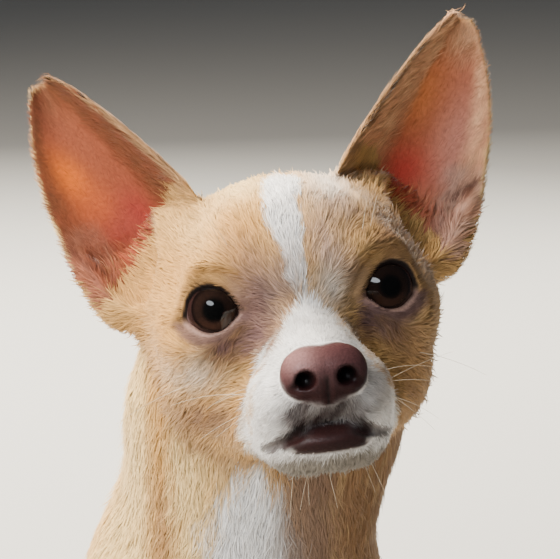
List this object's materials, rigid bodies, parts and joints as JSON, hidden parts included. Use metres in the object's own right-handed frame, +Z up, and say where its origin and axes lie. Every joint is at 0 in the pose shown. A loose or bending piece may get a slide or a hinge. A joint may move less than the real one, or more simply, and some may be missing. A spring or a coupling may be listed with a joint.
{
  "type": "chihuahua",
  "caption": "Life-size sitting smooth-coated chihuahua with its head raised, turned and tilted, upright pointed ears and a tail curled on the floor.",
  "frame": {"origin": "centre of the bounding box on the floor", "axes": "+Z up, -Y the way the chest faces, +X to the dog's left"},
  "size_m": [0.1478, 0.2664, 0.3351],
  "materials": {
    "coat": "short smooth fawn coat with white markings",
    "ear": "thin pink skin with short hair",
    "nose_skin": "moist liver-coloured skin",
    "eye": "wet and dark brown",
    "claw": "worn horn"
  },
  "bodies": {
    "root": {"head": "coat", "nose": "nose_skin", "eye_left": "eye", "eye_right": "eye", "ear_left": "ear", "ear_right": "ear", "neck": "coat", "torso": "coat", "tail_base": "coat", "tail_tip": "coat", "foreleg_left": "coat", "foreleg_right": "coat", "forepaw_left": "coat", "forepaw_right": "coat", "thigh_left": "coat", "thigh_right": "coat", "hindfoot_left": "coat", "hindfoot_right": "coat", "claw_forepaw_left_1": "claw", "claw_forepaw_left_2": "claw", "claw_forepaw_left_3": "claw", "claw_forepaw_left_4": "claw", "claw_forepaw_right_1": "claw", "claw_forepaw_right_2": "claw", "claw_forepaw_right_3": "claw", "claw_forepaw_right_4": "claw", "claw_hindfoot_left_1": "claw", "claw_hindfoot_left_2": "claw", "claw_hindfoot_left_3": "claw", "claw_hindfoot_left_4": "claw", "claw_hindfoot_right_1": "claw", "claw_hindfoot_right_2": "claw", "claw_hindfoot_right_3": "claw", "claw_hindfoot_right_4": "claw"}
  },
  "joints": []
}
